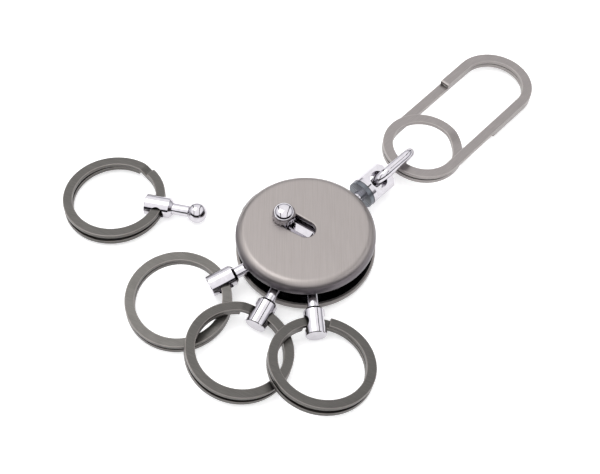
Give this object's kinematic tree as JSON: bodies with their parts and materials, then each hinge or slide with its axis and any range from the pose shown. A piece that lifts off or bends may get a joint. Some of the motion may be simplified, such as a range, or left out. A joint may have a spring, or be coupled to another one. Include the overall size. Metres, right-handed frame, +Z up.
{
  "type": "key organiser",
  "caption": "Flat metal disc whose rim carries ball-ended studs with split key rings, a sprung gate that lets a stud out, and a swivel with a wire belt clip.",
  "frame": {"origin": "on the disc's axis at the lower cover's flat face, which rests on the table", "axes": "+Z up out of the top cover, +Y along the swivel pin towards the belt clip, +X to its right seen from above"},
  "size_m": [0.0949, 0.1261, 0.0139],
  "materials": {
    "bottom_cover": "brushed stainless steel with a satin face and a lighter bevelled lip",
    "top_cover": "fine brushed stainless steel with a bright rounded edge",
    "core": "black acetal, matt",
    "lower_race": "dark turned steel",
    "upper_race": "dark turned steel",
    "cover_screws": "plain steel, turned heads",
    "swivel_pin": "polished steel",
    "swivel_washer": "turned steel with fine rings",
    "gate_spring": "bright spring wire",
    "gate_slide": "bright polished steel",
    "gate_knob": "polished chrome",
    "swivel_head": "polished chrome",
    "swivel_link": "polished chrome wire",
    "belt_clip": "satin spring steel, warm grey with bright edges",
    "stud_1": "mirror chrome with a satin end face",
    "ring_1": "dark brushed spring steel with a bright bevelled edge",
    "stud_2": "mirror chrome with a satin end face",
    "ring_2": "dark brushed spring steel with a bright bevelled edge",
    "stud_3": "mirror chrome with a satin end face",
    "ring_3": "dark brushed spring steel with a bright bevelled edge",
    "stud_4": "mirror chrome with a satin end face",
    "ring_4": "dark brushed spring steel with a bright bevelled edge"
  },
  "bodies": {
    "disc": {"bottom_cover": "bottom_cover", "top_cover": "top_cover", "core": "core", "lower_race": "lower_race", "upper_race": "upper_race", "cover_screws": "cover_screws", "swivel_pin": "swivel_pin", "swivel_washer": "swivel_washer", "gate_spring": "gate_spring"},
    "gate": {"gate_slide": "gate_slide", "gate_knob": "gate_knob"},
    "swivel_head": {"swivel_head": "swivel_head"},
    "swivel_link": {"swivel_link": "swivel_link"},
    "belt_clip": {"belt_clip": "belt_clip"},
    "stud_1": {"stud_1": "stud_1"},
    "ring_1": {"ring_1": "ring_1"},
    "stud_2": {"stud_2": "stud_2"},
    "ring_2": {"ring_2": "ring_2"},
    "stud_3": {"stud_3": "stud_3"},
    "ring_3": {"ring_3": "ring_3"},
    "stud_4": {"stud_4": "stud_4"},
    "ring_4": {"ring_4": "ring_4"}
  },
  "joints": [
    {"name": "stud_1_travel", "type": "hinge", "parent": "disc", "child": "stud_1", "pos_m": [0, 0, 0.0052], "axis": [0, 0, 1], "range_deg": [-16, 30]},
    {"name": "stud_2_travel", "type": "hinge", "parent": "stud_1", "child": "stud_2", "pos_m": [0, 0, 0.0052], "axis": [0, 0, 1], "range_deg": [0, 25]},
    {"name": "stud_3_travel", "type": "hinge", "parent": "stud_2", "child": "stud_3", "pos_m": [0, 0, 0.0052], "axis": [0, 0, 1], "range_deg": [-1, 30]},
    {"name": "ring_1_swing", "type": "hinge", "parent": "stud_1", "child": "ring_1", "pos_m": [-0.00728, -0.0209, 0.00369], "axis": [-0.9442, 0.3103, 0.1101], "range_deg": [-85, 0]},
    {"name": "ring_2_swing", "type": "hinge", "parent": "stud_2", "child": "ring_2", "pos_m": [0.0061, -0.02127, 0.00369], "axis": [-0.9392, -0.2976, 0.1715], "range_deg": [0, 30]},
    {"name": "ring_3_swing", "type": "hinge", "parent": "stud_3", "child": "ring_3", "pos_m": [0.0167, -0.01452, 0.00369], "axis": [-0.6236, -0.7608, 0.18], "range_deg": [0, 60]},
    {"name": "ring_4_swing", "type": "hinge", "parent": "stud_4", "child": "ring_4", "pos_m": [-0.03473, -0.0154, 0.00259], "axis": [-0.5135, 0.8581, 0], "range_deg": [-80, 100]},
    {"name": "stud_4_draw", "type": "slide", "parent": "disc", "child": "stud_4", "axis": [0.8581, 0.5135, 0], "range_m": [-0.03, 0.009]},
    {"name": "gate_slide", "type": "slide", "parent": "disc", "child": "gate", "axis": [0.9877, 0.1564, 0], "range_m": [0, 0.005], "stiffness_N_per_m": 120, "springref_m": -0.002, "deforming": ["gate_spring"]},
    {"name": "swivel_spin", "type": "hinge", "parent": "disc", "child": "swivel_head", "pos_m": [0, 0.0235, 0.0052], "axis": [0, 1, 0], "continuous": true},
    {"name": "link_swing", "type": "hinge", "parent": "swivel_head", "child": "swivel_link", "pos_m": [0, 0.02507, 0.0052], "axis": [0.4226, 0, 0.9063], "range_deg": [-70, 70]},
    {"name": "clip_tilt", "type": "hinge", "parent": "swivel_link", "child": "belt_clip", "pos_m": [0.00126, 0.03286, 0.00503], "axis": [0.9063, 0, -0.4226], "range_deg": [-60, 60]}
  ],
  "couplings": [
    {"joint": "ring_3_swing", "follows": "ring_2_swing", "ratio": 2}
  ]
}
